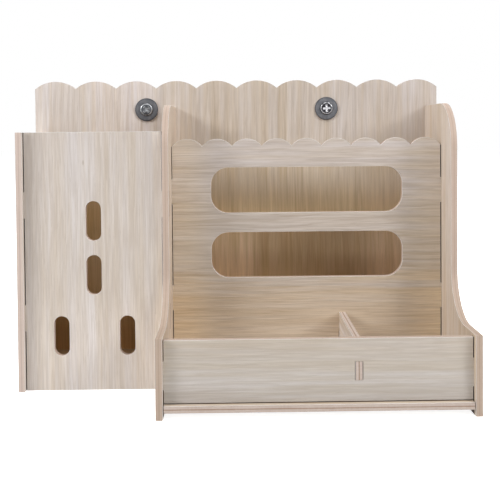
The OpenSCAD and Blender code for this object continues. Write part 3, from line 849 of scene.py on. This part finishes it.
# rim and recess give a share and a colour of painted reflection, outer a share and a colour of painted shade; cloud is
# per metre and relief is in metres
steels = {
    # the left and right bolts are one zinc, painted as a lighter and a darker copy for the different light on each
    # head
    "leftBolt": {"dark": (80, 82, 86), "light": (104, 106, 110), "bare": (140, 142, 146), "rub": 0.35,
                 "rim": (0.8, (186, 188, 191)), "recess": (0.75, (196, 198, 201)),
                 "smooth": 0.24, "rough": 0.36, "cloud": 520.0, "relief": 0.00002},
    "rightBolt": {"dark": (44, 42, 46), "light": (58, 57, 61), "bare": (110, 110, 114), "rub": 0.25,
                  "rim": (0.8, (190, 190, 193)), "recess": (1.0, (226, 226, 228)),
                  "smooth": 0.2, "rough": 0.32, "cloud": 420.0, "relief": 0.00002},
    "washer": {"dark": (96, 97, 101), "light": (112, 112, 115), "bare": (134, 134, 137), "rub": 0.3,
               "outer": (0.65, (66, 66, 69)), "smooth": 0.4, "rough": 0.54, "cloud": 300.0, "relief": 0.00004},
    "wingNut": {"dark": (140, 141, 145), "light": (172, 173, 177), "bare": (196, 196, 198), "rub": 0.4,
                "smooth": 0.3, "rough": 0.45, "cloud": 520.0, "relief": 0.00006},
}
zincPlating = buildPlating(zinc)


def steelFinish(name, look, side, turn=0.0):
    material, tree = newMaterial(name)
    shader = tree.nodes["Principled BSDF"].inputs
    axis = Vector((side * clamp["x"] * mm, 0, clamp["z"] * mm))
    rotation = Matrix.Rotation(math.radians(turn), 3, "Y")
    position = addNode(tree, "ShaderNodeMapping", {
        "Vector": addNode(tree, "ShaderNodeTexCoord").outputs["Object"],
        "Location": -(rotation @ axis), "Rotation": (0.0, math.radians(turn), 0.0)})
    plated = addNode(tree, "ShaderNodeGroup", {
        "Position": position, "Cloud": look["cloud"]}, node_tree=zincPlating).outputs
    base = blend(remap(plated["Cloudy"], *zinc["shade"]), colour(*look["dark"]), colour(*look["light"]))
    base = blend(times(plated["Rubbed"], look["rub"]), base, colour(*look["bare"]))
    # painted reflections on the head's rim and in the cross recess, and painted shade on the washer's rolled edge
    for label in ("Rim", "Recess", "Outer"):
        if label.lower() in look:
            share, tint = look[label.lower()]
            base = blend(times(plated[label], share), base, colour(*tint))
    feed(shader["Base Color"], base)
    feed(shader["Metallic"], 1.0)
    rough = remap(plated["Cloudy"], *zinc["shine"], look["smooth"], look["rough"])
    feed(shader["Roughness"], addUp(rough, [(plated["Rubbed"], zinc["scuffRough"])]))
    bump = addNode(tree, "ShaderNodeBump", {
        "Height": plated["Relief"], "Distance": look["relief"], "Strength": zinc["bump"]})
    feed(shader["Normal"], bump)
    return material


boltShape = {
    "radius": 2.5, "root": 2.01, "pitch": 0.8, "sides": 36, "rows": 304, "chamfer": 0.6, "overlap": 0.4,
    "head": 5.5, "rimTop": 2.45, "edge": 0.15, "shoulder": 1.0, "domeTop": 3.9, "rounds": 9,
    "recessReach": 3.1, "recessWidth": 1.7, "recessFloor": 2.15, "recessTip": 1.8, "recessTaper": 0.62,
    "turn": {"left": 42.0, "right": 4.0},  # degrees that each head has turned
}


def buildBolt(size, turn, name, finish):
    # straight rim, a rounded shoulder and a low dome
    head, rim, top, shoulder, rounds = (size[key] for key in ("head", "rimTop", "domeTop", "shoulder", "rounds"))
    base, inner, low = clamp["washerThick"], head - shoulder, rim + shoulder
    profile = [(0.0, base), (head - size["edge"], base), (head, base + size["edge"]), (head, rim)]
    for i in range(1, rounds):
        angle = math.pi / 2 * i / rounds
        profile.append((inner + shoulder * math.cos(angle), rim + shoulder * math.sin(angle)))
    domeRadius = (inner ** 2 + (top - low) ** 2) / (2 * (top - low))
    for i in range(rounds + 1):
        radius = inner * (1 - i / rounds)
        profile.append((radius, top - domeRadius + math.sqrt(domeRadius ** 2 - radius ** 2)))
    blank = cutAway(turned(name + "Head", profile), recessCutter(size, turn))
    return runTree(name, blank, boltThread, {
        "Crest": size["radius"], "Root": size["root"], "Pitch": size["pitch"], "Low": -clamp["tail"],
        "High": base + size["overlap"], "Sides": size["sides"], "Rows": size["rows"], "Chamfer": size["chamfer"],
        "Finish": finish})


washerShape = {"inner": 2.75, "outer": 10.0, "thick": clamp["washerThick"], "rolled": 0.28, "steps": 128}


def buildWasher(size):
    # stamped: rolled over at the outer edge, a little torn at the hole
    inner, outer, thick, rolled = size["inner"], size["outer"], size["thick"], size["rolled"]
    profile = [(inner + 0.12, 0.0), (outer - 0.06, 0.0), (outer, 0.06), (outer, thick - rolled)]
    profile += [(outer - rolled * (1 - math.cos(a)), thick - rolled * (1 - math.sin(a))) for a in (0.5, 1.05)]
    profile += [(outer - rolled, thick), (inner + 0.2, thick), (inner + 0.06, thick - 0.06),
                (inner, thick - 0.2), (inner, 0.12)]
    return turned("washer", profile, size["steps"], closed=True)


wingNutShape = {
    "hub": 5.5, "hubEnd": 4.4, "hubHeight": 6.5, "bore": 2.55, "countersink": 1.4,
    "wingRadius": 4.2, "wingReach": 13.0, "wingHeight": 13.0, "wingThick": 2.0, "wingFoot": 1.0,
    "wingInside": 2.9, "wingTopInside": 3.4, "voxel": 0.24, "smoothing": 7,
    "swellFrom": 4.0, "swellSpan": 9.0, "swell": 1.12, "swellLoss": 0.22, "seatBelow": 0.14,
}


def buildWingNut(size):
    # a hub and two wings, run together like a casting; z goes away from the washer
    hub, hubEnd, height, foot = size["hub"], size["hubEnd"], size["hubHeight"], size["wingFoot"]
    centreX, centreZ = size["wingReach"] - size["wingRadius"], size["wingHeight"] - size["wingRadius"]
    outline = [(size["wingInside"], foot), (hub, foot)]
    outline += arc(centreX, centreZ, size["wingRadius"], -32, 180, 26)
    outline += [(size["wingTopInside"], height - 0.8)]
    shape = bmesh.new()
    for side in (-1, 1):
        faces = []
        for thickness in (-size["wingThick"] / 2, size["wingThick"] / 2):
            faces.append([shape.verts.new((side * x, thickness, z)) for x, z in outline])
        for face in faces:
            shape.faces.new(face)
        joinLoops(shape, *faces)
    bmesh.ops.recalc_face_normals(shape, faces=shape.faces)
    shape.from_mesh(turned("hub", [(0.0, 0.0), (hub - 0.25, 0.0), (hub, 0.3), (hubEnd + 0.05, height - 0.3),
                                   (hubEnd - 0.3, height), (0.0, height)]))
    cast = makeObject("wingNutCast", shapeMesh(shape, "wingNutBlank"))
    remesh = cast.modifiers.new("cast", "REMESH")
    remesh.mode, remesh.voxel_size = "VOXEL", size["voxel"]
    soft = cast.modifiers.new("soften", "SMOOTH")
    soft.factor, soft.iterations = 0.5, size["smoothing"]
    mesh = evaluated(cast, "wingNut")
    for vertex in mesh.vertices:
        # the wings are thickest at the hub, and the foot is faced flat
        point = vertex.co
        past = abs(point.x) - size["swellFrom"]
        if past > 0.0:
            point.y *= size["swell"] - size["swellLoss"] * min(1.0, past / size["swellSpan"])
        point.z = 0.0 if point.z < size["seatBelow"] else point.z
    wide = size["bore"] + size["countersink"]
    bore = [(0.0, -1.0), (wide, -1.0), (size["bore"], 0.4), (size["bore"], height - 0.4),
            (wide, height + 1.0), (0.0, height + 1.0)]
    return cutAway(mesh, turned("bore", bore))


def fitPiece(shared, name, side, finish, body, node, seat=None):
    # a copy of a turned piece on the left or right bolt's axis, turned about where it has a seat at the back
    mesh = shared.copy()
    mesh.name = name
    flip = Matrix.Identity(4) if seat is None else Matrix.Rotation(math.pi, 4, "X")
    place = Matrix.Translation((side * clamp["x"], sheet["boardFront"], clamp["z"]))
    turn = Matrix.Rotation(math.pi / 2, 4, "X")
    mesh.transform(Matrix.Scale(mm, 4) @ place @ turn @ Matrix.Translation((0, 0, seat or 0.0)) @ flip)
    mesh.materials.clear()
    mesh.materials.append(finish)
    mesh.polygons.foreach_set("use_smooth", [True] * len(mesh.polygons))
    mesh.set_sharp_from_angle(angle=math.radians(33))
    made = makeObject(name, mesh)
    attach(made, body)
    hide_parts(node)


boltThread = buildThreadTree()
washerMesh, wingNutMesh = buildWasher(washerShape), buildWingNut(wingNutShape)
for side, word in ((-1, "left"), (1, "right")):
    rear, turn = clamp["rearSeat"], boltShape["turn"][word]
    boltSteel = steelFinish(word + "BoltSteel", steels[word + "Bolt"], side, turn)
    washerSteel = steelFinish(word + "WasherSteel", steels["washer"], side)
    nutSteel = steelFinish(word + "WingNutSteel", steels["wingNut"], side)
    boltMesh = buildBolt(boltShape, turn, word + "ClampBolt", boltSteel)
    fitPiece(boltMesh, word + "Bolt", side, boltSteel, "feeder", word + "_bolt")
    fitPiece(washerMesh, word + "FrontWasher", side, washerSteel, "feeder", word + "_front_washer")
    fitPiece(washerMesh, word + "RearWasher", side, washerSteel, word + "_clamp", word + "_rear_washer",
             rear + clamp["washerThick"])
    fitPiece(wingNutMesh, word + "WingNut", side, nutSteel, word + "_nut", word + "_wing_nut", rear)
print("clamps: bolt", len(boltMesh.polygons), "faces, wing nut", len(wingNutMesh.polygons))

# the studio, in metres and watts
studio = {
    "floorSize": 14.0, "floorShade": 0.8, "floorGlow": 0.87, "ambient": 0.155, "aim": (0.0, 0.0, 0.12),
    "lamps": {
        "leftSoftbox": {"at": (-2.04, -0.91, 1.26), "size": 0.8, "power": 36.5},
        "rightSoftbox": {"at": (1.86, -1.26, 1.22), "size": 0.8, "power": 24.5},
        "highRightSoftbox": {"at": (1.23, -1.03, 2.04), "size": 0.8, "power": 14.0},
        "overheadSoftbox": {"at": (0.0, -0.65, 2.54), "size": 1.2, "power": 16.5},
        "rearSoftbox": {"at": (0.0, 1.77, 1.89), "size": 1.2, "power": 24.0},
    },
}


def seenDirectly(tree):
    # 1 for what the camera, gloss and glass see of the white surroundings, 0 for light on the feeder
    path = addNode(tree, "ShaderNodeLightPath").outputs
    seen = calc("MAXIMUM", path["Is Camera Ray"], path["Is Glossy Ray"])
    return calc("MAXIMUM", seen, path["Is Transmission Ray"])


def buildStudio(size):
    mesh = bpy.data.meshes.new("whiteFloor")
    half = size["floorSize"] / 2
    mesh.from_pydata([(-half, -half, 0), (half, -half, 0), (half, half, 0), (-half, half, 0)], [], [(0, 1, 2, 3)])
    floor = makeObject("whiteFloor", mesh)
    material, tree = newMaterial("whiteFloorPaint")
    tree.nodes.remove(tree.nodes["Principled BSDF"])
    grey = size["floorShade"]
    matt = addNode(tree, "ShaderNodeBsdfDiffuse", {"Color": (grey, grey, grey, 1)})
    glow = addNode(tree, "ShaderNodeEmission", {"Strength": times(seenDirectly(tree), size["floorGlow"])})
    both = addNode(tree, "ShaderNodeAddShader", {0: matt, 1: glow})
    feed(tree.nodes["Material Output"].inputs["Surface"], both)
    mesh.materials.append(material)

    world = bpy.data.worlds.new("whiteRoom")
    scene.world = world
    world.use_nodes = True
    tree = world.node_tree
    strength = addNode(tree, "ShaderNodeMix", {0: seenDirectly(tree), 2: size["ambient"], 3: 1.0}, data_type="FLOAT")
    background = tree.nodes["Background"].inputs
    feed(background["Color"], (1, 1, 1, 1))
    feed(background["Strength"], strength)

    for name, lamp in size["lamps"].items():
        light = bpy.data.lights.new(name, "AREA")
        light.shape, light.size, light.energy = "SQUARE", lamp["size"], lamp["power"]
        made = makeObject(name, light)
        made.location = lamp["at"]
        made.rotation_euler = (Vector(size["aim"]) - made.location).to_track_quat("-Z", "Y").to_euler()


# the photograph's own view: metres, degrees, and pixels of a picture that is 500 pixels wide
view = {"at": (0.0010, -0.6428, 0.2009), "yaw": 0.845, "down": 1.415, "roll": -0.476,
        "focal": 803.0, "horizonShift": -99.4, "pixels": 500, "sensor": 36.0}


def buildCamera(size):
    data = bpy.data.cameras.new("photoCamera")
    data.sensor_width = size["sensor"]
    data.lens = size["focal"] * size["sensor"] / size["pixels"]
    data.shift_y = size["horizonShift"] / size["pixels"]
    data.clip_start, data.clip_end = 0.01, 50.0
    made = makeObject("photoCamera", data)
    yaw, down, roll = (math.radians(size[key]) for key in ("yaw", "down", "roll"))
    ahead = Vector((math.sin(yaw) * math.cos(down), math.cos(yaw) * math.cos(down), -math.sin(down)))
    level = Vector((math.cos(yaw), -math.sin(yaw), 0))
    above = level.cross(ahead)
    right = math.cos(roll) * level + math.sin(roll) * above
    turn = Matrix((right, right.cross(ahead), -ahead)).transposed().to_4x4()
    made.matrix_world = Matrix.Translation(size["at"]) @ turn
    scene.camera = made


buildStudio(studio)
buildCamera(view)
scene.view_settings.view_transform = "Standard"
print("studio and camera")
